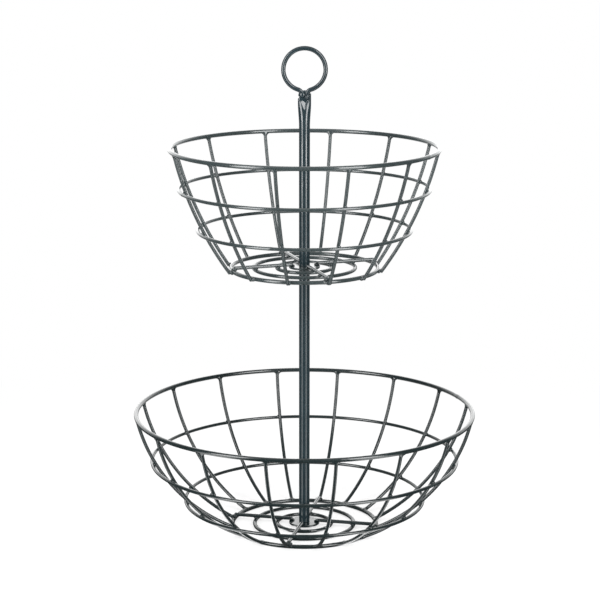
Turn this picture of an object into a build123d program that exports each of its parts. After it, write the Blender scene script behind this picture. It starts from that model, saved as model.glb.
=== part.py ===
from build123d import *
import math
import os
from dataclasses import dataclass

# Two-tier wire basket: two welded wire bowls on a tube pole with a ring handle on top.
# Millimetres. The origin is on the surface that the basket stands on, on the pole's axis. +Z is up along the pole,
# and -Y is the front.

# Wire diameters
rim_wire = 3.8
foot_wire = 3.6
base_wire = 3.2
spoke_wire = 3.2
hoop_wire = 3.0
rib_wire = 3.0
handle_wire = 4.0

# The hair of space left between two wires where they are welded
weld_gap = 0.02

# Base of either tier: radii are to the wire's centre
foot_ring_radius = 64.0
outer_base_ring_radius = 44.2
inner_base_ring_radius = 24.0
hub_disc_diameter = 27.0
hub_disc_thickness = 1.8
spoke_hub_space = 4.2
spoke_count = 4
rib_tip_overhang = 0.1

# Lower tier: rises are from the foot ring's wire centre
lower_rim_diameter = 300.0
lower_rim_rise = 103.0
lower_rib_bulge = 15.6
lower_hoop_rises = (23.9, 60.5)
lower_rib_count = 16
lower_first_rib_angle = 12.5

# Upper tier
upper_rim_diameter = 235.0
upper_rim_rise = 104.3
upper_rib_bulge = 5.8
upper_hoop_rises = (33.6, 69.5)
upper_rib_count = 12
upper_first_rib_angle = 12.0

# How far the ribs' lower ends go from a butt joint on the foot ring (0) to a full lap outside it (1)
lower_rib_lap_share = 0.0
upper_rib_lap_share = 1.0

# Pole tubes
tube_diameter = 9.5
tube_wall = 1.0
lower_tube_length = 231.0
upper_tube_length = 150.0

# Pinched top of the upper tube
pinch_width = 11.4
pinch_length = 10.3
pinch_blend_length = 15.5
pinch_gap = 0.05

# Ring handle
handle_diameter = 40.0
handle_centre_rise = 20.2
handle_neck_bend_radius = 5.0
handle_leg_gap = 0.1
handle_leg_depth = 9.8

# Threaded inserts, stud and screw
insert_length = 15.0
press_gap = 0.02
thread_diameter = 5.0
thread_gap = 0.02
hub_hole_gap = 0.1
stud_reach = 11.0
screw_reach = 12.0
screw_head_diameter = 10.0
screw_head_height = 1.3
screw_socket_across_flats = 3.0
screw_socket_depth = 1.6

# Levels that follow from the sizes above
tube_radius = tube_diameter / 2
bore_radius = tube_radius - tube_wall
thread_radius = thread_diameter / 2
hub_top_above_foot_centre = foot_wire / 2
lower_foot_level = foot_wire / 2
lower_hub_top = lower_foot_level + hub_top_above_foot_centre
upper_hub_top = lower_hub_top + lower_tube_length + hub_disc_thickness
upper_foot_level = upper_hub_top - hub_top_above_foot_centre
pole_top = upper_hub_top + upper_tube_length


@dataclass
class Tier:
    """One wire bowl: its name, the height of its foot ring's wire centre, and its own sizes."""
    name: str
    foot_level: float
    rim_diameter: float
    rim_rise: float
    rib_bulge: float
    hoop_rises: tuple
    rib_count: int
    first_rib_angle: float
    rib_lap_share: float
    first_spoke_rib: int

    @property
    def hub_top(self):
        return self.foot_level + hub_top_above_foot_centre

    @property
    def rim_radius(self):
        return (self.rim_diameter - rim_wire) / 2

    def rib_angle(self, number):
        """Turn about Z of a rib that is drawn along +X: rib 0 stands at the first rib's angle from the rear."""
        return 90 - self.first_rib_angle - number * 360 / self.rib_count

    def spoke_angle(self, number):
        return self.rib_angle(self.first_spoke_rib) - number * 360 / spoke_count


lower_tier = Tier("lower", lower_foot_level, lower_rim_diameter, lower_rim_rise, lower_rib_bulge, lower_hoop_rises,
                  lower_rib_count, lower_first_rib_angle, lower_rib_lap_share, first_spoke_rib=0)
upper_tier = Tier("upper", upper_foot_level, upper_rim_diameter, upper_rim_rise, upper_rib_bulge, upper_hoop_rises,
                  upper_rib_count, upper_first_rib_angle, upper_rib_lap_share, first_spoke_rib=-1)


@dataclass
class Arc:
    """A rib's centreline in the plane of radius and height, from its foot up to its rim."""
    centre_radius: float
    centre_height: float
    radius: float
    start_angle: float
    end_angle: float


def rib_arc(tier):
    """The arc of the given bulge between the foot ring and the rim, cut back to the surfaces that it is welded to."""
    rim_height = tier.foot_level + tier.rim_rise
    spread = tier.rim_radius - foot_ring_radius
    half_sweep = 2 * math.atan2(2 * tier.rib_bulge, math.hypot(spread, tier.rim_rise))
    foot_slope = math.atan2(tier.rim_rise, spread) - half_sweep
    lap = tier.rib_lap_share * ((foot_wire + rib_wire) / 2 + weld_gap)
    foot_radius = foot_ring_radius + lap * math.sin(foot_slope)
    foot_height = tier.foot_level - lap * math.cos(foot_slope)
    run = tier.rim_radius - foot_radius
    rise = rim_height - foot_height
    chord = math.hypot(run, rise)
    radius = (chord ** 2 / 4 + tier.rib_bulge ** 2) / (2 * tier.rib_bulge)
    inset = (radius - tier.rib_bulge) / chord
    centre_radius = (foot_radius + tier.rim_radius) / 2 - inset * rise
    centre_height = (foot_height + rim_height) / 2 + inset * run
    start = math.atan2(foot_height - centre_height, foot_radius - centre_radius)
    end = math.atan2(rim_height - centre_height, tier.rim_radius - centre_radius)
    butt_cut = (1 - tier.rib_lap_share) * (foot_wire / 2 + weld_gap)
    start += (butt_cut - tier.rib_lap_share * rib_tip_overhang) / radius
    end -= (rim_wire / 2 + weld_gap) / radius
    return Arc(centre_radius, centre_height, radius, math.degrees(start), math.degrees(end))


def hoop_radius(tier, rise):
    """Radius of a hoop that lies against the outside of the ribs at a rise above the foot ring."""
    arc = rib_arc(tier)
    reach = arc.radius + (rib_wire + hoop_wire) / 2 + weld_gap
    drop = tier.foot_level + rise - arc.centre_height
    return arc.centre_radius + math.sqrt(reach ** 2 - drop ** 2)


def wire_ring(radius, wire, height):
    """A closed wire ring about Z."""
    return Pos(0, 0, height) * Torus(radius, wire / 2)


def hub_disc(tier):
    bottom = tier.hub_top - hub_disc_thickness
    return bar(hub_disc_diameter / 2, bottom, tier.hub_top) - bar(thread_radius + hub_hole_gap, bottom, tier.hub_top)


def hoop(tier, rise):
    return wire_ring(hoop_radius(tier, rise), hoop_wire, tier.foot_level + rise)


def base_ring(tier, radius):
    """An inner ring of the base, with its top level with the top of the foot ring."""
    return wire_ring(radius, base_wire, tier.hub_top - base_wire / 2)


def rib(tier):
    """A bowed rib along +X, inside the hoops, from the foot ring to the underside of the rim."""
    arc = rib_arc(tier)
    start = math.radians(arc.start_angle)
    foot = (arc.centre_radius + arc.radius * math.cos(start), 0, arc.centre_height + arc.radius * math.sin(start))
    section = Plane(origin=foot, z_dir=(-math.sin(start), 0, math.cos(start))) * Circle(rib_wire / 2)
    bow_axis = Axis((arc.centre_radius, 0, arc.centre_height), (0, -1, 0))
    return revolve(section, bow_axis, arc.end_angle - arc.start_angle)


def spoke(tier):
    """A straight spoke along +X that lies over the rings of the base and the edge of the hub disc."""
    start = tube_radius + spoke_hub_space
    height = tier.hub_top + weld_gap + spoke_wire / 2
    section = Plane(origin=(start, 0, height), z_dir=(1, 0, 0)) * Circle(spoke_wire / 2)
    return extrude(section, foot_ring_radius - start)


def tier_nodes(tier):
    """All the pieces of one welded tier, by name."""
    low_rise, high_rise = tier.hoop_rises
    nodes = {
        "rim": wire_ring(tier.rim_radius, rim_wire, tier.foot_level + tier.rim_rise),
        "hoop_high": hoop(tier, high_rise),
        "hoop_low": hoop(tier, low_rise),
        "foot_ring": wire_ring(foot_ring_radius, foot_wire, tier.foot_level),
        "base_ring_outer": base_ring(tier, outer_base_ring_radius),
        "base_ring_inner": base_ring(tier, inner_base_ring_radius),
        "hub_disc": hub_disc(tier),
    }
    rib_along_x = rib(tier)
    for number in range(tier.rib_count):
        nodes[f"rib_{number + 1:02d}"] = rib_along_x.rotate(Axis.Z, tier.rib_angle(number))
    spoke_along_x = spoke(tier)
    for number in range(spoke_count):
        nodes[f"spoke_{number + 1}"] = spoke_along_x.rotate(Axis.Z, tier.spoke_angle(number))
    return {f"{tier.name}_{name}": shape for name, shape in nodes.items()}


def bar(radius, bottom, top):
    """A round bar about the pole's axis between two heights."""
    return Pos(0, 0, (bottom + top) / 2) * Cylinder(radius, top - bottom)


def tube(bottom, top):
    return bar(tube_radius, bottom, top) - bar(bore_radius, bottom, top)


def threaded_insert(bottom):
    """A plug pressed into the end of a tube, with a plain bore in place of its thread."""
    top = bottom + insert_length
    return bar(bore_radius - press_gap, bottom, top) - bar(thread_radius + thread_gap, bottom, top)


def pinch_outline(width, depth, height):
    """A slot-shaped wire of four edges about the pole's axis, flat at the front and the back."""
    end = (width - depth) / 2
    side = depth / 2
    edges = [
        Line((-end, -side), (end, -side)),
        ThreePointArc((end, -side), (end + side, 0), (end, side)),
        Line((end, side), (-end, side)),
        ThreePointArc((-end, side), (-end - side, 0), (-end, -side)),
    ]
    return Pos(0, 0, height) * make_face(Wire(edges))


def round_outline(radius, flat_share, height):
    """A circle of four arcs that meet the four edges of the pinched outline."""
    half = math.asin(flat_share)
    x = radius * math.sin(half)
    y = radius * math.cos(half)
    edges = [
        ThreePointArc((-x, -y), (0, -radius), (x, -y)),
        ThreePointArc((x, -y), (radius, 0), (x, y)),
        ThreePointArc((x, y), (0, radius), (-x, y)),
        ThreePointArc((-x, y), (-radius, 0), (-x, -y)),
    ]
    return Pos(0, 0, height) * make_face(Wire(edges))


def pinched_bar(radius, width, depth):
    """The solid inside a tube wall's face: round below, blended to a slot shape at the top of the pole."""
    pinch_bottom = pole_top - pinch_length
    blend_bottom = pinch_bottom - pinch_blend_length
    flat_share = (width - depth) / 2 / radius
    lower = round_outline(radius, flat_share, blend_bottom)
    upper = pinch_outline(width, depth, pinch_bottom)
    blend = loft([lower, upper], ruled=True)
    return bar(radius, upper_hub_top, blend_bottom) + blend + extrude(upper, pinch_length)


def upper_tube():
    depth = handle_wire + 2 * pinch_gap
    outside = pinched_bar(tube_radius, pinch_width, depth + 2 * tube_wall)
    inside = pinched_bar(bore_radius, pinch_width - 2 * tube_wall, depth)
    return outside - inside


def handle_path():
    """Leg, neck bend, loop, neck bend and leg of the ring handle, in the XZ plane."""
    loop_radius = (handle_diameter - handle_wire) / 2
    centre = pole_top + handle_centre_rise
    leg = (handle_wire + handle_leg_gap) / 2
    bend = handle_neck_bend_radius
    bend_x = leg + bend
    bend_z = centre - math.sqrt((loop_radius + bend) ** 2 - bend_x ** 2)
    neck_angle = math.atan2(centre - bend_z, bend_x)
    right = [
        Vector(leg, 0, pole_top - handle_leg_depth),
        Vector(leg, 0, bend_z),
        Vector(bend_x - bend * math.cos(neck_angle / 2), 0, bend_z + bend * math.sin(neck_angle / 2)),
        Vector(bend_x - bend * math.cos(neck_angle), 0, bend_z + bend * math.sin(neck_angle)),
    ]
    left = [Vector(-point.X, 0, point.Z) for point in right]
    edges = [
        Line(right[0], right[1]),
        ThreePointArc(right[1], right[2], right[3]),
        ThreePointArc(right[3], Vector(0, 0, centre + loop_radius), left[3]),
        ThreePointArc(left[3], left[2], left[1]),
        Line(left[1], left[0]),
    ]
    return Wire(edges)


def ring_handle():
    """A wire loop that faces front, necked in below to two legs that stand side by side in the pinched tube."""
    path = handle_path()
    section = Plane(origin=path @ 0, z_dir=path % 0) * Circle(handle_wire / 2)
    return sweep(section, path)


def base_screw():
    """A flat-headed screw up through the lower hub disc, with a hexagon socket in its head."""
    head_top = lower_hub_top - hub_disc_thickness
    head_bottom = head_top - screw_head_height
    head = bar(screw_head_diameter / 2, head_bottom, head_top)
    shank = bar(thread_radius, head_top, lower_hub_top + screw_reach)
    socket_face = Pos(0, 0, head_bottom) * RegularPolygon(screw_socket_across_flats / 2, 6, major_radius=False)
    return head + shank - extrude(socket_face, screw_socket_depth)


def pole_nodes():
    """The pole: two tubes, the pieces that join them and the tiers, and the ring handle."""
    lower_tube_top = lower_hub_top + lower_tube_length
    return {
        "lower_tube": tube(lower_hub_top, lower_tube_top),
        "lower_tube_bottom_insert": threaded_insert(lower_hub_top),
        "lower_tube_top_insert": threaded_insert(lower_tube_top - insert_length),
        "upper_tube": upper_tube(),
        "upper_tube_insert": threaded_insert(upper_hub_top),
        "joining_stud": bar(thread_radius, lower_tube_top - stud_reach, upper_hub_top + stud_reach),
        "base_screw": base_screw(),
        "ring_handle": ring_handle(),
    }


def main():
    nodes = {**tier_nodes(lower_tier), **tier_nodes(upper_tier), **pole_nodes()}
    os.makedirs("parts", exist_ok=True)
    for name, shape in nodes.items():
        export_step(shape, f"parts/{name}.step")


main()
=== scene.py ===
import math

import bpy
import numpy as np
from mathutils import Matrix, Vector


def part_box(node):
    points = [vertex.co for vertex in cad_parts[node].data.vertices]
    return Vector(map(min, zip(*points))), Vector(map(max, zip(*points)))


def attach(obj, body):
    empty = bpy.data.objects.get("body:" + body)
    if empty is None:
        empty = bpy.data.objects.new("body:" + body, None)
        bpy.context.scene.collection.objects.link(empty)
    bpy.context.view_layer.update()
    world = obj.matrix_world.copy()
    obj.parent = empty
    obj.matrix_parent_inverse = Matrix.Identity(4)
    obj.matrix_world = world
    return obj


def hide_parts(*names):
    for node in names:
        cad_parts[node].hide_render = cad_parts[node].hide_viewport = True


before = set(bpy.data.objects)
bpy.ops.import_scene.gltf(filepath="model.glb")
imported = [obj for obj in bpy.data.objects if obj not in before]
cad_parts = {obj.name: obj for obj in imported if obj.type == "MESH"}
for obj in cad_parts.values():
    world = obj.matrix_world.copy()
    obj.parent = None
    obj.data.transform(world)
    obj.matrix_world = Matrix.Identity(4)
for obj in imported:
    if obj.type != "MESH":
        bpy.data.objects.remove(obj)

bl_info = {
    "name": "Tiered Wire Basket",
    "version": (1, 0, 0),
    "blender": (4, 5, 0),
    "location": "3D View > Sidebar > Basket",
    "description": "Builds the painted wires, the welds, the materials and the stage of a tiered wire basket",
    "category": "Object",
}

MM = 0.001
UP = np.array([0.0, 0.0, 1.0])
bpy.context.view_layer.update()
TIERS = ("lower", "upper")
# The rings of a bowl, with the angle of each one's butt weld from the rear, in degrees clockwise from above,
# and how much further round the upper bowl's are
SEAM_TURNS = {"rim": 70, "hoop_high": 205, "hoop_low": 151, "foot_ring": 118, "base_ring_outer": 255,
              "base_ring_inner": 20}
UPPER_SEAM_SHIFT = 47
# The gap round the stud's thread in a hub disc's hole
THREAD_ROOM = 0.1 * MM
PLATED_NODES = ("lower_tube_bottom_insert", "lower_tube_top_insert", "upper_tube_insert", "joining_stud",
                "base_screw")
MATERIAL_NAMES = {
    "wire_paint": "Satin enamel on steel wire",
    "pole_paint": "Satin enamel on steel tube",
    "plated_steel": "Zinc plated turned steel",
}
# Points round a wire, the handle's wire, the lower tube, the pinched tube, a hub disc and a lump of weld
WIRE_POINTS, HANDLE_POINTS, TUBE_POINTS, PINCH_POINTS, DISC_POINTS, LUMP_POINTS = 24, 28, 64, 160, 96, 20
# Rows of points along a rib, a spoke and a lump
RIB_ROWS, SPOKE_ROWS, LUMP_ROWS = 96, 56, 14


def node_ring(node):
    """Wire-centre radius, wire radius and height of a CAD ring about the pole, in metres."""
    low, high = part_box(node)
    wire = (high.z - low.z) / 2
    return max(high.x, high.y, -low.x, -low.y) - wire, wire, (high.z + low.z) / 2


def count_nodes(prefix):
    """How many CAD nodes have a name that starts this way."""
    return sum(name.startswith(prefix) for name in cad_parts)


class PaintSettings(bpy.types.PropertyGroup):
    """Colours and surface of the painted steel."""
    wire_colour: bpy.props.StringProperty(
        name="Wire paint", description="sRGB hex colour of the paint on the lower bowl", default="#151d1e")
    # Painted light: a lighter colour for the upper bowl, standing in for the light that falls more on it
    upper_painted_light_colour: bpy.props.StringProperty(
        name="Upper wire paint", description="sRGB hex colour of the paint on the upper bowl, a greyer one",
        default="#2c3334")
    pole_colour: bpy.props.StringProperty(
        name="Pole paint", description="sRGB hex colour of the paint on the pole", default="#1b262a")
    shade_spread: bpy.props.FloatProperty(
        name="Shade spread", description="How far the paint's lightness wanders over the surface",
        default=0.16, min=0.0, max=1.0, subtype="FACTOR")
    roughness: bpy.props.FloatProperty(
        name="Roughness", description="Roughness of the cured paint", default=0.15, min=0.0, max=1.0,
        subtype="FACTOR")
    peel_size: bpy.props.FloatProperty(
        name="Orange peel size", description="Distance between the ripples of the paint", default=1.1 * MM,
        unit="LENGTH")
    peel_height: bpy.props.FloatProperty(
        name="Orange peel height", description="Height of the ripples of the paint", default=0.0015 * MM,
        unit="LENGTH")
    plating_colour: bpy.props.StringProperty(
        name="Zinc plating", description="sRGB hex colour of the plated screw, stud and inserts",
        default="#b9bbb6")


class TierSettings(bpy.types.PropertyGroup):
    """How the wires of the bowls are bent and welded."""
    lower_bulge: bpy.props.FloatProperty(
        name="Lower rib bulge", description="How far a lower rib bows out from the line between its ends",
        default=15.6 * MM, unit="LENGTH")
    upper_bulge: bpy.props.FloatProperty(
        name="Upper rib bulge", description="How far an upper rib bows out from the line between its ends",
        default=5.8 * MM, unit="LENGTH")
    lower_turn: bpy.props.FloatProperty(
        name="Lower turn", description="Angle of the first lower rib from the rear, clockwise from above",
        default=math.radians(12.5), subtype="ANGLE")
    upper_turn: bpy.props.FloatProperty(
        name="Upper turn", description="Angle of the first upper rib from the rear, clockwise from above",
        default=math.radians(12.0), subtype="ANGLE")
    tip_overhang: bpy.props.FloatProperty(
        name="Tip overhang", description="How far an upper rib reaches past the foot ring that it laps",
        default=-1.0 * MM, unit="LENGTH")
    wedge_length: bpy.props.FloatProperty(
        name="Wedge length", description="Length over which the inner end of a spoke is sheared to a wedge",
        default=3.0 * MM, unit="LENGTH")
    fillet: bpy.props.FloatProperty(
        name="Rim fillet", description="Radius of the weld fillet between a rib and the rim",
        default=2.6 * MM, unit="LENGTH")
    nugget: bpy.props.FloatProperty(
        name="Weld nugget", description="Half the width of the weld metal where two wires cross",
        default=2.15 * MM, unit="LENGTH")
    seam_height: bpy.props.FloatProperty(
        name="Seam height", description="How far the butt weld of a ring stands out", default=0.22 * MM,
        unit="LENGTH")
    seam_length: bpy.props.FloatProperty(
        name="Seam length", description="Half the length of the butt weld of a ring", default=1.6 * MM,
        unit="LENGTH")


class PoleSettings(bpy.types.PropertyGroup):
    """Shape of the pinched top of the pole and of the ring handle."""
    pinch_length: bpy.props.FloatProperty(
        name="Pinch length", description="Length at the top of the tube that is squeezed to its full width",
        default=8.0 * MM, unit="LENGTH")
    widening_length: bpy.props.FloatProperty(
        name="Widening length", description="Length over which the round tube widens to the pinch",
        default=20.0 * MM, unit="LENGTH")
    squeeze_length: bpy.props.FloatProperty(
        name="Squeeze length", description="Length over which the round tube thins to the pinch",
        default=11.0 * MM, unit="LENGTH")
    fold_length: bpy.props.FloatProperty(
        name="Fold length", description="Distance of the fold's lower tip from the top of the tube",
        default=14.7 * MM, unit="LENGTH")
    fold_slope: bpy.props.FloatProperty(
        name="Fold slope", description="Steepness of the wider face of the fold, as depth over width",
        default=0.33)
    fold_centre: bpy.props.FloatProperty(
        name="Fold centre", description="Where the fold is deepest, from its middle (0) to the right (1)",
        default=0.3, min=0.0, max=0.9, subtype="FACTOR")
    slant: bpy.props.FloatProperty(
        name="Slant", description="How much lower the left corner of the tube's top is than the right one",
        default=4.4 * MM, unit="LENGTH")
    neck_bend: bpy.props.FloatProperty(
        name="Neck bend", description="Radius of the bends between the ring and its legs",
        default=5.0 * MM, unit="LENGTH")
    leg_gap: bpy.props.FloatProperty(
        name="Leg gap", description="Space between the two legs of the ring", default=0.1 * MM, unit="LENGTH")
    edge_round: bpy.props.FloatProperty(
        name="Edge rounding", description="Radius of the tubes' and discs' edges under the paint",
        default=0.35 * MM, unit="LENGTH")


class StageSettings(bpy.types.PropertyGroup):
    """Camera, lights and floor."""
    lens: bpy.props.FloatProperty(
        name="Lens", description="Focal length of the camera, in millimetres", default=120.0, subtype="NONE")
    camera_distance: bpy.props.FloatProperty(
        name="Camera distance", description="Distance from the camera to the middle of the pole",
        default=1745 * MM, unit="LENGTH")
    camera_elevation: bpy.props.FloatProperty(
        name="Camera elevation", description="Angle of the camera above the horizon",
        default=math.radians(12.45), subtype="ANGLE")
    pivot_height: bpy.props.FloatProperty(
        name="Pivot height", description="Height of the point on the pole that the camera is placed by",
        default=201.8 * MM, unit="LENGTH")
    pivot_pixel_x: bpy.props.FloatProperty(
        name="Pivot pixel across", description="Where that point is seen, from a 600 pixel picture's left",
        default=304.4)
    pivot_pixel_y: bpy.props.FloatProperty(
        name="Pivot pixel down", description="Where that point is seen, from a 600 pixel picture's top",
        default=304.44)
    left_turn: bpy.props.FloatProperty(
        name="Left light turn", description="Angle of the left strip light from the front, at the pole",
        default=math.radians(-49), subtype="ANGLE")
    right_turn: bpy.props.FloatProperty(
        name="Right light turn", description="Angle of the right strip light from the front, at the pole",
        default=math.radians(39), subtype="ANGLE")
    strip_distance: bpy.props.FloatProperty(
        name="Strip light distance", description="Distance of each strip light from the pole", default=1.5,
        unit="LENGTH")
    strip_power: bpy.props.FloatProperty(
        name="Strip light power", description="Power of each strip light, in watts per metre of its height",
        default=20.5)
    strip_width: bpy.props.FloatProperty(
        name="Strip light width", description="Width of each strip light", default=0.6, unit="LENGTH")
    strip_bottom: bpy.props.FloatProperty(
        name="Strip light bottom", description="Height of each strip light's lower end", default=0.05,
        unit="LENGTH")
    strip_top: bpy.props.FloatProperty(
        name="Strip light top", description="Height of each strip light's upper end", default=1.7,
        unit="LENGTH")
    pool_level: bpy.props.FloatProperty(
        name="Light pools", description="Brightness of the strips' light on the floor as the gloss shows it",
        default=3.6)
    overhead_power: bpy.props.FloatProperty(
        name="Overhead power", description="Power of the soft box overhead in watts", default=2.0)
    ambient: bpy.props.FloatProperty(
        name="Ambient", description="Level of the even light from all round", default=0.7)
    backdrop: bpy.props.FloatProperty(
        name="Backdrop", description="Brightness of the lit backdrop as the gloss of the paint shows it",
        default=2.8)
    far_floor: bpy.props.FloatProperty(
        name="Far floor", description="Brightness of the paper behind the basket, as the gloss shows it",
        default=0.85)
    front_gloom: bpy.props.FloatProperty(
        name="Front gloom", description="Brightness of the unlit front of the studio as the gloss shows it",
        default=0.1)


def settings():
    """The settings that this add-on keeps with the scene."""
    return bpy.context.scene.basket


def srgb(text):
    """A hex colour as linear RGBA: each part / 12.92 where dark, else ((part + 0.055) / 1.055) ^ 2.4."""
    parts = [int(text[k:k + 2], 16) / 255 for k in (1, 3, 5)]
    return tuple(c / 12.92 if c <= 0.04045 else ((c + 0.055) / 1.055) ** 2.4 for c in parts) + (1.0,)


def add_node(tree, kind, inputs=None, **fields):
    """Adds a node, sets its fields, and gives each of its inputs a value or a link."""
    node = tree.nodes.new(kind)
    for field, value in fields.items():
        setattr(node, field, value)
    for socket, value in (inputs or {}).items():
        if isinstance(value, bpy.types.NodeSocket):
            tree.links.new(value, node.inputs[socket])
        else:
            node.inputs[socket].default_value = value
    return node


def empty_material(name):
    """A new material with no nodes."""
    material = bpy.data.materials.new(name)
    material.use_nodes = True
    material.node_tree.nodes.clear()
    return material


ENAMEL_IOR = 1.52
# Most of a noise texture lies between these two values
NOISE_SPAN = {"From Min": 0.3, "From Max": 0.7}
# Heights between which the lower bowl's paint goes over to the upper bowl's lighter one, a painted light: no
# wire of a bowl lies there
PAINTED_LIGHT_HEIGHTS = {"From Min": 130 * MM, "From Max": 220 * MM}
# How much rougher and how much glossier than its setting the paint gets
ROUGHER, GLOSSIER = 0.05, 0.03
# Distance between the tool marks that are drawn
TOOL_MARKS = 4.9348 * MM


def painted_steel(name, low_colour, painted_light_colour):
    """Mild steel, dipped and stoved in a dark slate-green enamel.

    The paint is a smooth dielectric film: slightly uneven in shade where it ran together before it cured,
    with a clear sheen and a faint orange peel that breaks up the long highlights.
    """
    paint = settings().paint
    material = empty_material(name)
    tree = material.node_tree
    place = add_node(tree, "ShaderNodeTexCoord").outputs["Object"]
    # Shade wanders over about 30 mm, as the paint's thickness does along a hanging wire
    drift = add_node(tree, "ShaderNodeTexNoise", {"Vector": place, "Scale": 1 / (30 * MM), "Detail": 3.0})
    shade = add_node(tree, "ShaderNodeMapRange", {
        "Value": drift.outputs["Fac"], **NOISE_SPAN,
        "To Min": 1 - paint.shade_spread, "To Max": 1 + paint.shade_spread})
    # Painted light: the upper bowl is painted a little greyer and lighter, standing in for the light that
    # falls more on it
    height = add_node(tree, "ShaderNodeSeparateXYZ", {"Vector": place}).outputs["Z"]
    upper = add_node(tree, "ShaderNodeMapRange", {"Value": height, **PAINTED_LIGHT_HEIGHTS})
    dipped = add_node(tree, "ShaderNodeMix", {
        "Factor": upper.outputs["Result"], "A": srgb(low_colour), "B": srgb(painted_light_colour)}, data_type="RGBA")
    colour = add_node(tree, "ShaderNodeMix", {
        "Factor": 1.0, "A": dipped.outputs["Result"], "B": shade.outputs["Result"]},
        data_type="RGBA", blend_type="MULTIPLY")
    # Gloss is uneven over about 8 mm
    haze = add_node(tree, "ShaderNodeTexNoise", {"Vector": place, "Scale": 1 / (8 * MM), "Detail": 2.0})
    gloss = add_node(tree, "ShaderNodeMapRange", {
        "Value": haze.outputs["Fac"], **NOISE_SPAN,
        "To Min": paint.roughness - GLOSSIER, "To Max": paint.roughness + ROUGHER})
    peel = add_node(tree, "ShaderNodeTexNoise", {
        "Vector": place, "Scale": 1 / paint.peel_size, "Detail": 1.0})
    bump = add_node(tree, "ShaderNodeBump", {
        "Height": peel.outputs["Fac"], "Strength": 1.0, "Distance": paint.peel_height})
    shader = add_node(tree, "ShaderNodeBsdfPrincipled", {
        "Base Color": colour.outputs["Result"], "Roughness": gloss.outputs["Result"],
        "Normal": bump.outputs["Normal"], "IOR": ENAMEL_IOR})
    add_node(tree, "ShaderNodeOutputMaterial", {"Surface": shader.outputs["BSDF"]})
    return material


def zinc_plated_steel(name):
    """Turned steel, bright zinc plated: a cool grey metal with fine lathe rings and a cloudy sheen."""
    material = empty_material(name)
    tree = material.node_tree
    place = add_node(tree, "ShaderNodeTexCoord").outputs["Object"]
    cloud = add_node(tree, "ShaderNodeTexNoise", {"Vector": place, "Scale": 1 / (3 * MM), "Detail": 4.0})
    gloss = add_node(tree, "ShaderNodeMapRange", {
        "Value": cloud.outputs["Fac"], **NOISE_SPAN, "To Min": 0.24, "To Max": 0.42})
    # Real tool marks, about 0.5 mm apart, are too fine to show, so they are drawn coarser. At scale 1 the
    # texture has 20 / tau bands in a metre.
    rings = add_node(tree, "ShaderNodeTexWave", {
        "Vector": place, "Scale": math.tau / (20 * TOOL_MARKS), "Distortion": 0.4}, bands_direction="Z")
    bump = add_node(tree, "ShaderNodeBump", {
        "Height": rings.outputs["Fac"], "Strength": 0.5, "Distance": 0.02 * MM})
    shader = add_node(tree, "ShaderNodeBsdfPrincipled", {
        "Base Color": srgb(settings().paint.plating_colour), "Metallic": 1.0,
        "Roughness": gloss.outputs["Result"], "Normal": bump.outputs["Normal"]})
    add_node(tree, "ShaderNodeOutputMaterial", {"Surface": shader.outputs["BSDF"]})
    return material


def material_for(slot):
    """The material of one slot, made once."""
    name = MATERIAL_NAMES[slot]
    if name in bpy.data.materials:
        return bpy.data.materials[name]
    paint = settings().paint
    if slot == "wire_paint":
        return painted_steel(name, paint.wire_colour, paint.upper_painted_light_colour)
    if slot == "pole_paint":
        return painted_steel(name, paint.pole_colour, paint.pole_colour)
    return zinc_plated_steel(name)


def new_object(name, data):
    """An object with this data, put into the scene."""
    thing = bpy.data.objects.new(name, data)
    bpy.context.scene.collection.objects.link(thing)
    return thing


def piece_from_grids(name, grids, closed, body, slot, nodes=()):
    """Makes one piece from grids of points: rows along the path, columns round it, columns always closed.

    A face joins each point to the next one in its row and to the same two in the next row. A closed grid's
    last row joins its first; an open one is shut by a fan to the middle of the row at either end.
    """
    vertices, quads, fans = [], [], []
    offset = 0
    for points in grids:
        rows, columns = points.shape[:2]
        index = offset + np.arange(rows * columns).reshape(rows, columns)
        ahead = np.roll(index, -1, axis=1)
        last = rows if closed else rows - 1
        here, beside = index[:last], ahead[:last]
        up, up_beside = np.roll(index, -1, axis=0)[:last], np.roll(ahead, -1, axis=0)[:last]
        quads.append(np.stack([here, beside, up_beside, up], axis=-1).reshape(-1, 4))
        vertices.append(points.reshape(-1, 3))
        offset += rows * columns
        if not closed:
            vertices.append(np.stack([points[0].mean(axis=0), points[-1].mean(axis=0)]))
            start, end = np.full(columns, offset), np.full(columns, offset + 1)
            fans.append(np.stack([start, ahead[0], index[0]], axis=-1))
            fans.append(np.stack([end, index[-1], ahead[-1]], axis=-1))
            offset += 2
    faces = [face for group in quads + fans for face in group.tolist()]
    mesh = bpy.data.meshes.new(name)
    mesh.from_pydata(np.concatenate(vertices).tolist(), [], faces)
    mesh.shade_smooth()
    mesh.materials.append(material_for(slot))
    piece = new_object(name, mesh)
    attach(piece, body)
    if nodes:
        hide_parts(*nodes)
    return piece


def wire_skin(path, across, half_in, half_across, segments=WIRE_POINTS, closed=False):
    """An ellipse along a flat path: point + half_in * cos(v) * inward + half_across * sin(v) * across.

    half_across may be a pair, for the two sides of the path's plane.
    """
    step = (np.roll(path, -1, axis=0) - np.roll(path, 1, axis=0)) if closed else np.gradient(path, axis=0)
    tangent = step / np.linalg.norm(step, axis=1, keepdims=True)
    across = np.asarray(across, float)
    inward = np.cross(across, tangent)
    v = np.arange(segments) * math.tau / segments
    pair = half_across if isinstance(half_across, tuple) else (half_across, half_across)
    one_side, other_side = (np.asarray(half)[..., None] for half in pair)
    sides = np.where(np.sin(v)[None, :] >= 0, one_side, other_side)
    reach_in = (np.asarray(half_in)[..., None] * np.cos(v)[None, :])[..., None] * inward[:, None, :]
    reach_across = (sides * np.sin(v)[None, :])[..., None] * across[None, None, :]
    return path[:, None, :] + reach_in + reach_across


def ring_path(radius, height, count):
    """A circle about the pole, with its angles clockwise from the rear: radius * (sine, cosine)."""
    angle = np.arange(count) * math.tau / count
    return np.stack([radius * np.sin(angle), radius * np.cos(angle), np.full(count, height)], axis=-1), angle


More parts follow.
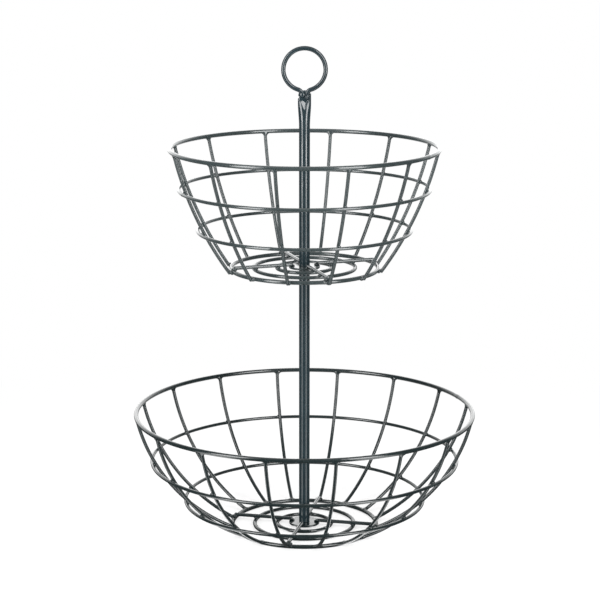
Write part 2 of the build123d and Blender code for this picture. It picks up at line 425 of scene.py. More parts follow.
def angle_apart(a, b):
    """The angle from b to a, wrapped to between -pi and pi."""
    return (a - b + math.pi) % math.tau - math.pi


def eased(count):
    """Shares from 0 to 1, crowded at both ends: half of 1 - cos(t), with t even from 0 to pi."""
    return 0.5 - 0.5 * np.cos(np.linspace(0, math.pi, count))


def rounded_end(distance, length, share):
    """Thickness near a cut end, as a quarter ellipse from a share of it at the end to all of it at a length.

    share + (1 - share) * sqrt(1 - (1 - t)^2), where t is the distance over the length, kept between 0 and 1.
    """
    t = np.clip(distance / length, 0, 1)
    return share + (1 - share) * np.sqrt(1 - (1 - t) ** 2)


def smooth(t):
    """The smooth step 3 t^2 - 2 t^3 between 0 and 1."""
    t = np.clip(t, 0, 1)
    return t * t * (3 - 2 * t)


class Tier:
    """Sizes of one bowl, from its CAD nodes, with its rib's arc worked out as in the CAD part."""

    def __init__(self, name):
        """Reads radii, wires and heights off the nodes' boxes, then solves the ribs' arc."""
        tiers = settings().tiers
        self.name = name
        self.body = name + "_basket"
        self.rim_radius, self.rim_wire, self.rim_height = node_ring(name + "_rim")
        self.foot_radius, self.foot_wire, self.foot_height = node_ring(name + "_foot_ring")
        self.outer_radius, self.spoke_wire = node_ring(name + "_base_ring_outer")[:2]
        self.inner_radius = node_ring(name + "_base_ring_inner")[0]
        self.hoops = [node_ring(name + "_hoop_high"), node_ring(name + "_hoop_low")]
        # Ribs are of the hoops' wire, and spokes of the base rings'
        self.rib_wire = self.hoops[0][1]
        disc_low, disc_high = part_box(name + "_hub_disc")
        self.disc_radius = max(disc_high.x, disc_high.y)
        self.disc_bottom, self.disc_top = disc_low.z, disc_high.z
        self.hole_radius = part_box("joining_stud")[1].x + THREAD_ROOM
        self.rib_count = count_nodes(name + "_rib_")
        self.spoke_count = count_nodes(name + "_spoke_")
        self.bulge = getattr(tiers, name + "_bulge")
        self.turn = getattr(tiers, name + "_turn")
        # The upper ribs lap the foot ring outside, the lower ones stand on it
        self.laps = name == "upper"
        self.first_spoke_rib = -1 if self.laps else 0
        self.solve_arc()

    def solve_arc(self):
        """Centre, radius and end angles of the circle through the foot and the rim with the tier's bulge.

        Radius: (chord^2 / 4 + bulge^2) / (2 * bulge). Its centre is radius - bulge inside the chord's middle.
        """
        spread, rise = self.rim_radius - self.foot_radius, self.rim_height - self.foot_height
        half_sweep = 2 * math.atan2(2 * self.bulge, math.hypot(spread, rise))
        slope = math.atan2(rise, spread) - half_sweep
        lap = (self.foot_wire + self.rib_wire) if self.laps else 0.0
        foot_r = self.foot_radius + lap * math.sin(slope)
        foot_z = self.foot_height - lap * math.cos(slope)
        run, rise = self.rim_radius - foot_r, self.rim_height - foot_z
        chord = math.hypot(run, rise)
        self.arc_radius = (chord ** 2 / 4 + self.bulge ** 2) / (2 * self.bulge)
        inset = (self.arc_radius - self.bulge) / chord
        self.arc_r = (foot_r + self.rim_radius) / 2 - inset * rise
        self.arc_z = (foot_z + self.rim_height) / 2 + inset * run
        self.arc_start = math.atan2(foot_z - self.arc_z, foot_r - self.arc_r)
        self.arc_end = math.atan2(self.rim_height - self.arc_z, self.rim_radius - self.arc_r)

    def rib_angle(self, number):
        """Angle of a rib from the rear, clockwise from above: the first one's and even steps."""
        return self.turn + number * math.tau / self.rib_count

    def spoke_angle(self, number):
        """Angle of a spoke from the rear, clockwise from above: a rib's and even steps."""
        return self.rib_angle(self.first_spoke_rib) + number * math.tau / self.spoke_count

    def rib_slope_at(self, height):
        """Outward and upward parts of the rib's direction at a height: across its circle's radius there."""
        angle = math.atan2(height - self.arc_z, math.sqrt(self.arc_radius ** 2 - (height - self.arc_z) ** 2))
        return -math.sin(angle), math.cos(angle)


def outward(angle):
    """The level direction away from the pole at an angle clockwise from the rear: (sine, cosine)."""
    return np.array([math.sin(angle), math.cos(angle), 0.0])


def sideways(angle):
    """The level direction along a ring at an angle clockwise from the rear: (cosine, -sine)."""
    return np.array([math.cos(angle), -math.sin(angle), 0.0])


class BuildRings(bpy.types.Operator):
    """Builds every ring of both bowls as a round wire with its butt weld"""
    bl_idname = "basket.build_rings"
    bl_label = "Rings"

    def execute(self, context):
        """A circle of wire, with seam height * exp(-(gap / seam length)^2) added to its half thickness."""
        tiers = settings().tiers
        for tier_number, tier_name in enumerate(TIERS):
            for ring_name, seam_turn in SEAM_TURNS.items():
                node = f"{tier_name}_{ring_name}"
                radius, wire, height = node_ring(node)
                # A larger ring has more points
                path, angle = ring_path(radius, height, 64 + 2 * round(radius / MM))
                seam = math.radians(seam_turn + tier_number * UPPER_SEAM_SHIFT)
                gap = angle_apart(angle, seam) * radius
                swell = wire + tiers.seam_height * np.exp(-(gap / tiers.seam_length) ** 2)
                grid = wire_skin(path, -UP, swell, swell, closed=True)
                # The seam is dressed flat below, so that the bowl stands on the wire itself
                grid[..., 2] = np.maximum(grid[..., 2], height - wire)
                piece_from_grids(node + "_wire", [grid], True, tier_name + "_basket", "wire_paint", [node])
        return {"FINISHED"}


# The rim fillet's least and most share of its setting and its swing, its depth over its width, and the share
# of the fillet at the foot
FILLET_RANGE = (0.75, 1.2, 0.45)
FILLET_DEPTH = 0.12
FOOT_FILLET = 1.1
# Length of the rounding at an upper rib's tip and at a spoke's ends, and the share of the wire at the end
TIP_LENGTH, TIP_SHARE = 0.6 * MM, 0.55
SPOKE_END_LENGTH, SPOKE_END_SHARE = 0.5 * MM, 0.72
# Width and thickness of a spoke's sheared inner end, as shares of the wire's
WEDGE_WIDTH, WEDGE_THICKNESS = 0.3, 0.35


class BuildRibs(bpy.types.Operator):
    """Builds the bowed ribs, flared into weld fillets under the rim and at the foot ring"""
    bl_idname = "basket.build_ribs"
    bl_label = "Ribs"

    def execute(self, context):
        """Goes round each bowl, rib by rib."""
        for tier_name in TIERS:
            tier = Tier(tier_name)
            for number in range(tier.rib_count):
                self.build_rib(tier, number)
        return {"FINISHED"}

    def build_rib(self, tier, number):
        """A wire along the tier's arc: centre + radius * (cos(t), sin(t)), widened by a fillet at each weld.

        The fillets' two sides differ, and from rib to rib they take turns at being the wider one by a sine.
        """
        tiers = settings().tiers
        start = tier.arc_start - (tiers.tip_overhang / tier.arc_radius if tier.laps else 0.0)
        end = tier.arc_end
        arc = start + (end - start) * eased(RIB_ROWS)
        angle = tier.rib_angle(number)
        radius = tier.arc_r + tier.arc_radius * np.cos(arc)
        height = tier.arc_z + tier.arc_radius * np.sin(arc)
        path = radius[:, None] * outward(angle) + height[:, None] * UP
        wobble = 0.5 + 0.5 * math.sin(2.4 * number + tier.rib_count)
        to_rim = (end - arc) * tier.arc_radius - tier.rim_wire
        least, most, swing = FILLET_RANGE
        top_left = self.fillet(to_rim, tiers.fillet * (least + swing * wobble))
        top_right = self.fillet(to_rim, tiers.fillet * (most - swing * wobble))
        left, right = tier.rib_wire + top_left, tier.rib_wire + top_right
        thick = tier.rib_wire + FILLET_DEPTH * np.minimum(top_left, top_right)
        from_start = (arc - start) * tier.arc_radius
        if tier.laps:
            rounding = rounded_end(from_start, TIP_LENGTH, TIP_SHARE)
            left, right, thick = left * rounding, right * rounding, thick * rounding
        else:
            foot = self.fillet(from_start - tier.foot_wire, tiers.fillet * FOOT_FILLET)
            left, right = left + foot, right + foot
        grid = wire_skin(path, sideways(angle), thick, (left, right))
        node = f"{tier.name}_rib_{number + 1:02d}"
        piece_from_grids(node + "_wire", [grid], False, tier.body, "wire_paint", [node])

    @staticmethod
    def fillet(distance, radius):
        """Extra half width of a round fillet at a distance from the surface that it runs into.

        radius - sqrt(radius^2 - short^2), where short is the radius less the distance.
        """
        short = np.clip(radius - np.maximum(distance, 0.0), 0, radius)
        return radius - np.sqrt(np.maximum(radius ** 2 - short ** 2, 0.0))


class BuildSpokes(bpy.types.Operator):
    """Builds the straight spokes of both bases with their cut ends"""
    bl_idname = "basket.build_spokes"
    bl_label = "Spokes"

    def execute(self, context):
        """Straight wires from the disc to the foot ring, each sheared to a wedge at the end on the disc.

        The wedge's width and thickness grow from their shares to 1 by a smooth step of the distance.
        """
        for tier_name in TIERS:
            tier = Tier(tier_name)
            start, end = self.inner_end(tier), tier.foot_radius
            along = start + (end - start) * eased(SPOKE_ROWS)
            wedge = smooth((along - start) / settings().tiers.wedge_length)
            thickness = WEDGE_THICKNESS + (1 - WEDGE_THICKNESS) * wedge
            half = tier.spoke_wire * rounded_end(
                np.minimum(along - start, end - along), SPOKE_END_LENGTH, SPOKE_END_SHARE)
            for number in range(tier.spoke_count):
                node = f"{tier_name}_spoke_{number + 1}"
                low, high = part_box(node)
                # The wedge is lowered, so that it still lies on the disc
                height = (low.z + high.z) / 2 - tier.spoke_wire * (1 - thickness)
                path = along[:, None] * outward(tier.spoke_angle(number)) + height[:, None] * UP
                grid = wire_skin(path, UP, half * (WEDGE_WIDTH + (1 - WEDGE_WIDTH) * wedge), half * thickness)
                piece_from_grids(node + "_wire", [grid], False, tier.body, "wire_paint", [node])
        return {"FINISHED"}

    @staticmethod
    def inner_end(tier):
        """Radius at which a spoke starts: (its box's nearest x + its wire * cosine) / sine of its angle."""
        low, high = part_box(f"{tier.name}_spoke_1")
        angle = tier.spoke_angle(0)
        across = tier.spoke_wire * abs(math.cos(angle))
        nearest = min(abs(low.x), abs(high.x))
        return (nearest + across) / abs(math.sin(angle))


class BuildHubs(bpy.types.Operator):
    """Builds the hub discs of both bowls with softened edges and a hole for the pole's thread"""
    bl_idname = "basket.build_hubs"
    bl_label = "Hub discs"

    def execute(self, context):
        """A rounded rectangle from the hole to the disc's edge, turned about the pole."""
        for tier_name in TIERS:
            tier = Tier(tier_name)
            grid = turned(rounded_wall(tier.hole_radius, tier.disc_radius, tier.disc_bottom, tier.disc_top),
                          DISC_POINTS)
            node = tier_name + "_hub_disc"
            piece_from_grids(node + "_plate", [grid], True, tier.body, "wire_paint", [node])
        return {"FINISHED"}


# Half axes of each kind of weld nugget, as shares of its size: along the rib or spoke, round the bowl, and up
# or away from the wires. They stand where a rib passes a hoop, laps the upper foot ring or stands on the
# lower one, and where a spoke lies on a base ring or ends on the foot ring.
HOOP_NUGGET = np.array([1.0, 1.0, 0.55])
LAP_NUGGET = np.array([1.05, 1.35, 0.75])
FOOT_NUGGET = np.array([1.2, 1.25, 0.62])
BASE_NUGGET = np.array([1.05, 1.1, 0.5])
END_NUGGET = np.array([1.25, 1.5, 0.8])
# How far up the rib a lap's nugget is moved, as a share of its size, and a foot's out and up, in foot wires
LAP_SHIFT = 0.45
FOOT_SHIFT = (0.5, 0.55)
# How far in from the foot ring, and up from the disc's top, the nugget at a spoke's end stands
END_INSET, END_RISE = 0.6 * MM, 0.5 * MM


class BuildWelds(bpy.types.Operator):
    """Builds the weld metal of both bowls: a nugget wherever two wires cross or meet"""
    bl_idname = "basket.build_welds"
    bl_label = "Welds"

    def execute(self, context):
        """Gathers the nuggets of each bowl into one piece."""
        for tier_name in TIERS:
            tier = Tier(tier_name)
            grids = self.hoop_nuggets(tier) + self.foot_nuggets(tier) + self.spoke_nuggets(tier)
            piece_from_grids(tier_name + "_weld_nuggets", grids, False, tier.body, "wire_paint")
        return {"FINISHED"}

    @staticmethod
    def nugget(centre, axes, shares, number):
        """A lump whose half axes are shares of the nugget's size, along three directions."""
        size = settings().tiers.nugget
        return lump(centre, *(share * size * axis for share, axis in zip(shares, axes)), number)

    def hoop_nuggets(self, tier):
        """One between each rib and each hoop, at the hoop's inner side; a sine varies their size."""
        grids = []
        for hoop_number, (radius, wire, height) in enumerate(tier.hoops):
            out, rise = tier.rib_slope_at(height)
            for number in range(tier.rib_count):
                angle = tier.rib_angle(number)
                along = out * outward(angle) + rise * UP
                away = rise * outward(angle) - out * UP
                centre = radius * outward(angle) + height * UP - wire * away
                swell = 1 + 0.14 * math.sin(5.1 * number + 2.3 * hoop_number)
                grids.append(self.nugget(centre, (along, sideways(angle), away),
                                         HOOP_NUGGET * (swell, swell, 1), number))
        return grids

    def foot_nuggets(self, tier):
        """One where each rib meets the foot ring, along the rib or level; a sine varies their width."""
        grids = []
        for number in range(tier.rib_count):
            angle = tier.rib_angle(number)
            swell = 1 + 0.2 * math.sin(3.7 * number + 1.0)
            ring = tier.foot_radius * outward(angle) + tier.foot_height * UP
            if tier.laps:
                out, rise = -math.sin(tier.arc_start), math.cos(tier.arc_start)
                normal = rise * outward(angle) - out * UP
                along = out * outward(angle) + rise * UP
                centre = ring + tier.foot_wire * normal + LAP_SHIFT * settings().tiers.nugget * along
                axes, shares = (along, sideways(angle), normal), LAP_NUGGET
            else:
                shift_out, shift_up = FOOT_SHIFT
                centre = ring + shift_out * tier.foot_wire * outward(angle) + shift_up * tier.foot_wire * UP
                axes, shares = (outward(angle), sideways(angle), UP), FOOT_NUGGET
            grids.append(self.nugget(centre, axes, shares * (1, swell, 1), number))
        return grids

    def spoke_nuggets(self, tier):
        """One where each spoke lies on each base ring, and a larger one where it ends on the foot ring."""
        places = ((tier.inner_radius, tier.disc_top, BASE_NUGGET),
                  (tier.outer_radius, tier.disc_top, BASE_NUGGET),
                  (tier.foot_radius - END_INSET, tier.disc_top + END_RISE, END_NUGGET))
        grids = []
        for number in range(tier.spoke_count):
            angle = tier.spoke_angle(number)
            for radius, height, shares in places:
                grids.append(self.nugget(radius * outward(angle) + height * UP,
                                         (outward(angle), sideways(angle), UP), shares, number))
        return grids


def lump(centre, first, second, third, number):
    """A blob of weld metal: centre + ripple * (sin(u) cos(v) first + sin(u) sin(v) second + cos(u) third).

    The ripple is 1 plus two low waves of a few per cent, which the lump's number shifts. The rows stop a
    little short of the ellipsoid's ends, where a fan shuts them.
    """
    end_gap = 0.12
    u = np.linspace(end_gap, math.pi - end_gap, LUMP_ROWS)[:, None]
    v = (np.arange(LUMP_POINTS) * math.tau / LUMP_POINTS)[None, :]
    ripple = 1 + 0.06 * np.sin(2 * v + 1.7 * number) * np.sin(u) + 0.05 * np.cos(3 * u + 0.9 * number)
    x, y, z = np.sin(u) * np.cos(v) * ripple, np.sin(u) * np.sin(v) * ripple, np.cos(u) * ripple + 0 * v
    # A left-handed set of axes would turn the faces inwards
    hand = np.sign(np.dot(np.cross(first, second), third))
    return (np.asarray(centre) + x[..., None] * first + (-hand * y)[..., None] * second
            + z[..., None] * np.asarray(third))


def rounded_outline(corners, radii, steps=5):
    """A closed outline of (radius, height) points whose corners are arcs: centre + radius * (sine, cosine).

    A guard point on each side of an arc keeps the flat faces beside it flat when they are smooth shaded.
    """
    points = []
    for k, (corner, radius) in enumerate(zip(corners, radii)):
        corner = np.array(corner, float)
        before = np.array(corners[k - 1], float) - corner
        after = np.array(corners[(k + 1) % len(corners)], float) - corner
        before, after = before / np.linalg.norm(before), after / np.linalg.norm(after)
        centre = corner + (before + after) * radius
        sweep = np.linspace(0, math.pi / 2, steps)
        arc = centre - radius * (np.sin(sweep)[:, None] * before + np.cos(sweep)[:, None] * after)
        guard = 1.3 * radius
        guard_before, guard_after = corner + before * guard, corner + after * guard
        points.append(np.concatenate([[guard_before], arc, [guard_after]]))
    return np.concatenate(points)


def rounded_wall(inner, outer, bottom, top):
    """The outline of a turned wall: a rectangle whose inner corners are half as round as its outer ones."""
    soft = settings().pole.edge_round
    return rounded_outline([(inner, bottom), (outer, bottom), (outer, top), (inner, top)],
                           [soft / 2, soft, soft, soft / 2])


def turned(outline, segments):
    """A closed outline of (radius, height) points turned about the pole: radius * (cosine, sine)."""
    angle = -np.arange(segments)[:, None] * math.tau / segments
    return np.stack([outline[:, 0] * np.cos(angle), outline[:, 0] * np.sin(angle),
                     outline[:, 1] + 0 * angle], axis=-1)


def handle_wire():
    """Half the thickness of the ring handle's wire."""
    low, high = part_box("ring_handle")
    return (high.y - low.y) / 2


# Rows of points on the straight part of the upper tube, its pinch, its lip and its inside
STRAIGHT_ROWS, PINCH_ROWS, LIP_ROWS, INSIDE_ROWS = 50, 150, 9, 60
LIP_RADIUS = 0.3 * MM
# The fold's half width over the climb from its tip, and the most of the tube's half width that it takes
FOLD_SPREAD, FOLD_WIDEST = 0.447, 0.86
# The least half depth inside the fold, and how much of the wall's thickness is kept there
FOLD_FLOOR, FOLD_WALL = 1.35 * MM, 0.7
# The slant starts at this share of the half width on the right, grows with this power of the way to the left
# edge, and reaches down this share of the fold's length
SLANT_START, SLANT_POWER, SLANT_REACH = 0.5, 1.5, 0.6


class BuildTubes(bpy.types.Operator):
    """Builds the two tubes of the pole, the upper one pinched flat and folded at its top"""
    bl_idname = "basket.build_tubes"
    bl_label = "Pole tubes"

    def execute(self, context):
        """The lower tube is a rounded rectangle turned about the pole, bored to the insert's radius."""
        low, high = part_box("lower_tube")
        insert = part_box("lower_tube_top_insert")[1]
        radius, bore = max(high.x, high.y), max(insert.x, insert.y)
        grid = turned(rounded_wall(bore, radius, low.z, high.z), TUBE_POINTS)
        piece_from_grids("lower_tube_skin", [grid], True, "pole", "pole_paint", ["lower_tube"])
        self.build_upper(radius, bore)
        return {"FINISHED"}

    def build_upper(self, radius, bore):
        """The upper tube as one closed section: up the outside, over the lip and down the inside.

        Each ring of it is an ellipse: half_width * cos(v), half_depth * sin(v). The width grows and the depth
        shrinks by a smooth step of the height. Inside the fold, which widens upwards from its tip, the depth
        is that at the fold's edge less the lower of two straight slopes. The lip slants from right to left.
        """
        pole = settings().pole
        low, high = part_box("upper_tube")
        half_width = max(high.x, -low.x)
        wall = radius - bore
        half_depth = handle_wire() + wall
        below_pinch = high.z - pole.pinch_length
        blend_bottom = below_pinch - pole.widening_length
        lip_bottom = high.z - LIP_RADIUS
        soft = pole.edge_round
        outside = np.concatenate([
            [low.z, low.z + 0.3 * soft], np.linspace(low.z + soft, blend_bottom, STRAIGHT_ROWS),
            np.linspace(blend_bottom, lip_bottom, PINCH_ROWS)[1:]])
        lip_turn = np.linspace(0, math.pi, LIP_ROWS)
        inside = np.concatenate([np.linspace(lip_bottom, blend_bottom, INSIDE_ROWS), [low.z]])[1:]
        rise = np.concatenate([outside, lip_bottom + LIP_RADIUS * np.sin(lip_turn), inside])[:, None]
        inset = np.concatenate([
            [0.3 * soft, 0.1 * soft], np.zeros(len(outside) - 2), wall / 2 * (1 - np.cos(lip_turn)),
            np.full(len(inside), wall)])[:, None]
        wide = smooth(1 + (rise - below_pinch) / pole.widening_length)
        thin = smooth(1 + (rise - below_pinch) / pole.squeeze_length)
        across = radius + (half_width - radius) * wide
        deep = radius + (half_depth - radius) * thin
        v = np.arange(PINCH_POINTS)[None, :] * math.tau / PINCH_POINTS
        x = (across - inset) * np.cos(v)
        y = (deep - inset) * np.abs(np.sin(v))
        climb = np.clip(rise - (high.z - pole.fold_length), 0, None)
        edge = np.minimum(climb * FOLD_SPREAD, FOLD_WIDEST * across)
        centre = pole.fold_centre
        slopes = np.minimum(x + edge, (edge - x) * (1 + centre) / (1 - centre))
        fold_face = deep * np.sqrt(1 - (edge / across) ** 2) - pole.fold_slope * np.clip(slopes, 0, None)
        fold_face = np.maximum(fold_face, FOLD_FLOOR) - FOLD_WALL * inset
        y = np.where(np.abs(x) < edge, np.minimum(y, fold_face), y)
        side = np.clip((SLANT_START - x / half_width) / (SLANT_START + 1), 0, 1)
        reach = SLANT_REACH * pole.fold_length
        z = rise - pole.slant * side ** SLANT_POWER * smooth((rise - (high.z - reach)) / reach)
        grid = np.stack([x, y * np.sign(np.sin(v)), z], axis=-1)
        piece_from_grids("upper_tube_skin", [grid], True, "pole", "pole_paint", ["upper_tube"])


# Rows of points on a leg of the ring, on its bend at the neck and on half of its loop
LEG_ROWS, NECK_ROWS, LOOP_ROWS = 12, 24, 120
# How far down inside the pinch the legs are squeezed, and by how much of their width
LEG_SQUEEZE_LENGTH, LEG_SQUEEZE = 3.0 * MM, 0.5
# Lumps of the neck's weld, in millimetres: right of the pole, up from the tube's top, then half the width,
# the height and the depth
NECK_LUMPS = (
    (-2.0, -1.0, 3.4, 3.0, 3.3), (2.2, -2.8, 2.3, 3.8, 3.4), (0.2, 1.2, 3.2, 1.5, 2.3),
    (1.2, -1.9, 1.1, 0.9, 3.8), (3.2, -0.6, 1.2, 1.0, 3.2), (3.8, 1.4, 0.9, 0.9, 2.4),
    (-4.3, 2.2, 0.9, 0.8, 2.3), (-3.0, 1.4, 1.0, 0.9, 2.7))


class BuildHandle(bpy.types.Operator):
    """Builds the finger ring of bent wire and the weld that closes its neck in the pinched tube"""
    bl_idname = "basket.build_handle"
    bl_label = "Ring handle"

    def execute(self, context):
        """A wire along a leg, a bend at the neck and half a loop, lines and arcs, and their mirror image.

        The bend's centre lies loop + bend from the loop's centre, so that the two arcs touch.
        """
        pole = settings().pole
        low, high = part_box("ring_handle")
        wire = handle_wire()
        outer = (high.x - low.x) / 2
        loop = outer - wire
        centre = high.z - outer
        leg = wire + pole.leg_gap / 2
        bend = pole.neck_bend
        bend_x = leg + bend
        bend_z = centre - math.sqrt((loop + bend) ** 2 - bend_x ** 2)
        neck = math.atan2(centre - bend_z, bend_x)
        # Half of the centreline: the leg upwards, the neck bend outwards, then the loop up to its top
        leg_rise = np.linspace(low.z, bend_z, LEG_ROWS)
        neck_turn = np.linspace(0, neck, NECK_ROWS)[1:]
        start = math.atan2(bend_z + bend * math.sin(neck) - centre, bend_x - bend * math.cos(neck))
        loop_turn = np.linspace(start, math.pi / 2, LOOP_ROWS)[1:]
        x = np.concatenate([0 * leg_rise + leg, bend_x - bend * np.cos(neck_turn), loop * np.cos(loop_turn)])
        z = np.concatenate([leg_rise, bend_z + bend * np.sin(neck_turn), centre + loop * np.sin(loop_turn)])
        x = np.concatenate([x, -x[-2::-1]])
        z = np.concatenate([z, z[-2::-1]])
        path = np.stack([x, 0 * x, z], axis=-1)
        tube_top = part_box("upper_tube")[1].z
        squeezed = wire * (1 - LEG_SQUEEZE * smooth((tube_top - z) / LEG_SQUEEZE_LENGTH))
        grid = wire_skin(path, (0, -1, 0), wire, squeezed, segments=HANDLE_POINTS)
        piece_from_grids("ring_handle_wire", [grid], False, "pole", "pole_paint", ["ring_handle"])
        right, deep, up = np.eye(3) * MM
        grids = [lump((across * MM, 0, tube_top + rise * MM), wide * right, out * deep, tall * up, number)
                 for number, (across, rise, wide, tall, out) in enumerate(NECK_LUMPS)]
        piece_from_grids("ring_handle_weld", grids, False, "pole", "pole_paint")
        return {"FINISHED"}


class FinishFasteners(bpy.types.Operator):
    """Gives the screw, the stud and the inserts their plated steel"""
    bl_idname = "basket.finish_fasteners"
    bl_label = "Fasteners"

    def execute(self, context):
        """Puts the plating in place of each CAD node's own material."""
        for node in PLATED_NODES:
            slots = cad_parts[node].data.materials
            slots.clear()
            slots.append(material_for("plated_steel"))
        return {"FINISHED"}


# Width of the camera's sensor in millimetres and of the picture in pixels, and half the width of the floor
SENSOR_WIDTH = 36.0
PICTURE_PIXELS = 600
FLOOR_HALF = 3.0
# Distances from the pole between which the floor's shadow fades, and how white the near floor is shown
SHADOW_FADE = (0.15, 0.6)
NEAR_WHITE = 0.65
# How far to the rear a direction points, as its Y, where the backdrop, or the far floor, starts to brighten
# and is brightest
BACKDROP_EDGES = (0.2, 1.0)
FAR_FLOOR_EDGES = (0.7, 0.95)
# The inner and outer edges of a strip's pool of light on the floor, as shares of half the strip's angle
POOL_EDGES = (0.7, 1.3)
# The soft box overhead: its middle, the point that it faces, and its two sides
OVERHEAD_PLACE, OVERHEAD_AIM, OVERHEAD_SIZE = (0, -0.25, 1.0), (0, 0, 0.3), (0.9, 0.9)


class BuildStage(bpy.types.Operator):
    """Builds the camera, the white floor, the strip lights and the surroundings"""
    bl_idname = "basket.build_stage"
    bl_label = "Stage"

    def execute(self, context):
        """Sets up the camera, the floor, the lights and the world, and plain colours."""
        self.build_camera()
        self.build_floor()
        self.build_lights()
        self.build_world()
        context.scene.view_settings.view_transform = "Standard"
        return {"FINISHED"}

    def build_camera(self):
        """A camera straight in front, back along its line of sight from the pivot.

        It is moved aside and up by the pivot's distance from the picture's middle: pixels times
        distance * sensor width / lens / picture width.
        """
        stage = settings().stage
        data = bpy.data.cameras.new("Camera")
        data.lens = stage.lens
        data.sensor_width = SENSOR_WIDTH
        data.clip_start = 0.05
        camera = new_object("Camera", data)
        tilt = stage.camera_elevation
        back = Vector((0, -math.cos(tilt), math.sin(tilt)))
        right, up = Vector((1, 0, 0)), Vector((0, math.sin(tilt), math.cos(tilt)))
        per_pixel = stage.camera_distance * SENSOR_WIDTH / stage.lens / PICTURE_PIXELS
        aside = (stage.pivot_pixel_x - PICTURE_PIXELS / 2) * per_pixel
        below = (stage.pivot_pixel_y - PICTURE_PIXELS / 2) * per_pixel
        place = Vector((0, 0, stage.pivot_height)) + back * stage.camera_distance - aside * right + below * up
        turn = Matrix((right, up, back)).transposed()
        camera.matrix_world = Matrix.Translation(place) @ turn.to_4x4()
        bpy.context.scene.camera = camera

    def build_floor(self):
        """White paper that keeps part of the shadow near the pole and is plain white further out.

        The white's share is a smooth step of the distance from the pole. The gloss of the paint sees it dim
        in front, brighter behind, and brightest in the two directions of the strip lights.
        """
        stage = settings().stage
        mesh = bpy.data.meshes.new("Floor")
        corners = [(x * FLOOR_HALF, y * FLOOR_HALF, 0) for x, y in ((-1, -1), (1, -1), (1, 1), (-1, 1))]
        mesh.from_pydata(corners, [], [(0, 1, 2, 3)])
        floor = new_object("Floor", mesh)
        material = empty_material("White studio paper")
        tree = material.node_tree
        path = add_node(tree, "ShaderNodeLightPath")
        place = add_node(tree, "ShaderNodeTexCoord").outputs["Object"]
        distance = add_node(tree, "ShaderNodeVectorMath", {0: place}, operation="LENGTH")
        fade = add_node(tree, "ShaderNodeMapRange", {
            "Value": distance.outputs["Value"], "From Min": SHADOW_FADE[0], "From Max": SHADOW_FADE[1],
            "To Min": NEAR_WHITE, "To Max": 1.0}, interpolation_type="SMOOTHSTEP")
        seen = add_node(tree, "ShaderNodeMath", {0: path.outputs["Is Camera Ray"], 1: fade.outputs["Result"]},
                        operation="MULTIPLY")
        paper = add_node(tree, "ShaderNodeBsdfDiffuse", {"Color": srgb("#f2f2f2")})
        white = add_node(tree, "ShaderNodeEmission", {"Color": srgb("#ffffff"), "Strength": 1.0})
        shown = add_node(tree, "ShaderNodeMixShader", {
            "Fac": seen.outputs["Value"], 1: paper.outputs["BSDF"], 2: white.outputs["Emission"]})
        # To the gloss of the paint the paper is as bright as the light that falls on it from each side
        spot = add_node(tree, "ShaderNodeSeparateXYZ", {"Vector": place})
        frontward = add_node(tree, "ShaderNodeMath", {0: spot.outputs["Y"], 1: -1.0}, operation="MULTIPLY")
        turn = add_node(tree, "ShaderNodeMath", {0: spot.outputs["X"], 1: frontward.outputs["Value"]},
                        operation="ARCTAN2")
        direction = add_node(tree, "ShaderNodeVectorMath", {0: place}, operation="NORMALIZE")
        glow = self.behind_level(tree, direction.outputs["Vector"], FAR_FLOOR_EDGES, stage.far_floor)
        spread = math.atan2(stage.strip_width / 2, stage.strip_distance)
        for strip_turn in (stage.left_turn, stage.right_turn):
            aside = add_node(tree, "ShaderNodeMath", {0: turn.outputs["Value"], 1: strip_turn},
                             operation="SUBTRACT")
            width = add_node(tree, "ShaderNodeMath", {0: aside.outputs["Value"]}, operation="ABSOLUTE")
            pool = add_node(tree, "ShaderNodeMapRange", {
                "Value": width.outputs["Value"], "From Min": spread * POOL_EDGES[1],
                "From Max": spread * POOL_EDGES[0], "To Min": 0.0, "To Max": stage.pool_level},
                interpolation_type="SMOOTHSTEP")
            glow = add_node(tree, "ShaderNodeMath", {0: glow, 1: pool.outputs["Result"]},
                            operation="ADD").outputs["Value"]
        lit = add_node(tree, "ShaderNodeEmission", {"Color": srgb("#ffffff"), "Strength": glow})
        mixed = add_node(tree, "ShaderNodeMixShader", {
            "Fac": path.outputs["Is Glossy Ray"], 1: shown.outputs["Shader"], 2: lit.outputs["Emission"]})
        # From below the paper is clear, so that the underside can be looked at
        one_sided = add_node(tree, "ShaderNodeMixShader", {
            "Fac": add_node(tree, "ShaderNodeNewGeometry").outputs["Backfacing"], 1: mixed.outputs["Shader"],
            2: add_node(tree, "ShaderNodeBsdfTransparent").outputs["BSDF"]})
        add_node(tree, "ShaderNodeOutputMaterial", {"Surface": one_sided.outputs["Shader"]})
        mesh.materials.append(material)

    @staticmethod
    def behind_level(tree, direction, edges, brightest):
        """Brightness to the gloss by direction: a smooth step of its part to the rear, between two edges."""
        stage = settings().stage
        parts = add_node(tree, "ShaderNodeSeparateXYZ", {"Vector": direction})
        level = add_node(tree, "ShaderNodeMapRange", {
            "Value": parts.outputs["Y"], "From Min": edges[0], "From Max": edges[1],
            "To Min": stage.front_gloom, "To Max": brightest}, interpolation_type="SMOOTHSTEP")
        return level.outputs["Result"]

    def build_lights(self):
        """Two tall strip lights at distance * (sine, -cosine) of their turns, and a soft box overhead."""
        stage = settings().stage
        for side, turn in (("Left", stage.left_turn), ("Right", stage.right_turn)):
            away = Vector((math.sin(turn), -math.cos(turn), 0)) * stage.strip_distance
            middle = Vector((0, 0, (stage.strip_bottom + stage.strip_top) / 2))
            height = stage.strip_top - stage.strip_bottom
            self.lamp(side + " strip", away + middle, away, (stage.strip_width, height),
                      stage.strip_power * height)
        overhead = Vector(OVERHEAD_PLACE)
        self.lamp("Overhead soft box", overhead, overhead - Vector(OVERHEAD_AIM), OVERHEAD_SIZE,
                  stage.overhead_power)

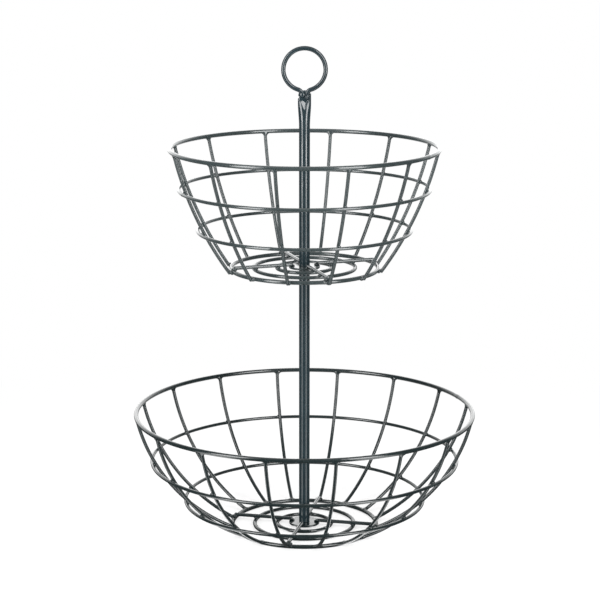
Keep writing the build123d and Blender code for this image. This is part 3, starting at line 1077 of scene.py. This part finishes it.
    def lamp(self, name, place, facing, size, power):
        """A rectangular light at a place, turned so that it shines against the direction it is given."""
        data = bpy.data.lights.new(name, "AREA")
        data.shape = "RECTANGLE"
        data.size, data.size_y = size
        data.energy = power
        lamp = new_object(name, data)
        lamp.matrix_world = Matrix.Translation(place) @ facing.to_track_quat("Z", "Y").to_matrix().to_4x4()

    def build_world(self):
        """White to the camera, even to the paint's colour, and to its gloss dim in front, bright behind."""
        stage = settings().stage
        world = bpy.data.worlds.new("Studio")
        bpy.context.scene.world = world
        world.use_nodes = True
        tree = world.node_tree
        tree.nodes.clear()
        direction = add_node(tree, "ShaderNodeTexCoord").outputs["Generated"]
        level = self.behind_level(tree, direction, BACKDROP_EDGES, stage.backdrop)
        path = add_node(tree, "ShaderNodeLightPath")
        ambient = add_node(tree, "ShaderNodeMix", {
            "Factor": path.outputs["Is Glossy Ray"], "A": stage.ambient, "B": level}, data_type="FLOAT")
        strength = add_node(tree, "ShaderNodeMix", {
            "Factor": path.outputs["Is Camera Ray"], "A": ambient.outputs["Result"], "B": 1.0},
            data_type="FLOAT")
        light = add_node(tree, "ShaderNodeBackground", {
            "Color": srgb("#ffffff"), "Strength": strength.outputs["Result"]})
        add_node(tree, "ShaderNodeOutputWorld", {"Surface": light.outputs["Background"]})


class BasketSettings(bpy.types.PropertyGroup):
    """All the sizes and colours that a user would change."""
    paint: bpy.props.PointerProperty(name="Paint", description="Paint of the basket", type=PaintSettings)
    tiers: bpy.props.PointerProperty(name="Bowls", description="Wires of the bowls", type=TierSettings)
    pole: bpy.props.PointerProperty(name="Pole", description="Top of the pole", type=PoleSettings)
    stage: bpy.props.PointerProperty(name="Stage", description="Camera and lights", type=StageSettings)


BUILDERS = (BuildRings, BuildRibs, BuildSpokes, BuildHubs, BuildWelds, BuildTubes, BuildHandle,
            FinishFasteners, BuildStage)


class BasketPanel(bpy.types.Panel):
    """Lists the steps that build the basket"""
    bl_idname = "VIEW3D_PT_basket"
    bl_label = "Tiered wire basket"
    bl_space_type = "VIEW_3D"
    bl_region_type = "UI"
    bl_category = "Basket"

    def draw(self, context):
        """A button for each step, in order."""
        for builder in BUILDERS:
            self.layout.operator(builder.bl_idname)


CLASSES = (PaintSettings, TierSettings, PoleSettings, StageSettings, BasketSettings, *BUILDERS, BasketPanel)


def register():
    """Registers the classes and hangs the settings on the scene."""
    for cls in CLASSES:
        bpy.utils.register_class(cls)
    bpy.types.Scene.basket = bpy.props.PointerProperty(type=BasketSettings)


def unregister():
    """Undoes what register did, in reverse."""
    del bpy.types.Scene.basket
    for cls in reversed(CLASSES):
        bpy.utils.unregister_class(cls)


def main():
    register()
    for builder in BUILDERS:
        group, name = builder.bl_idname.split(".")
        getattr(getattr(bpy.ops, group), name)()


if __name__ == "__main__":
    main()
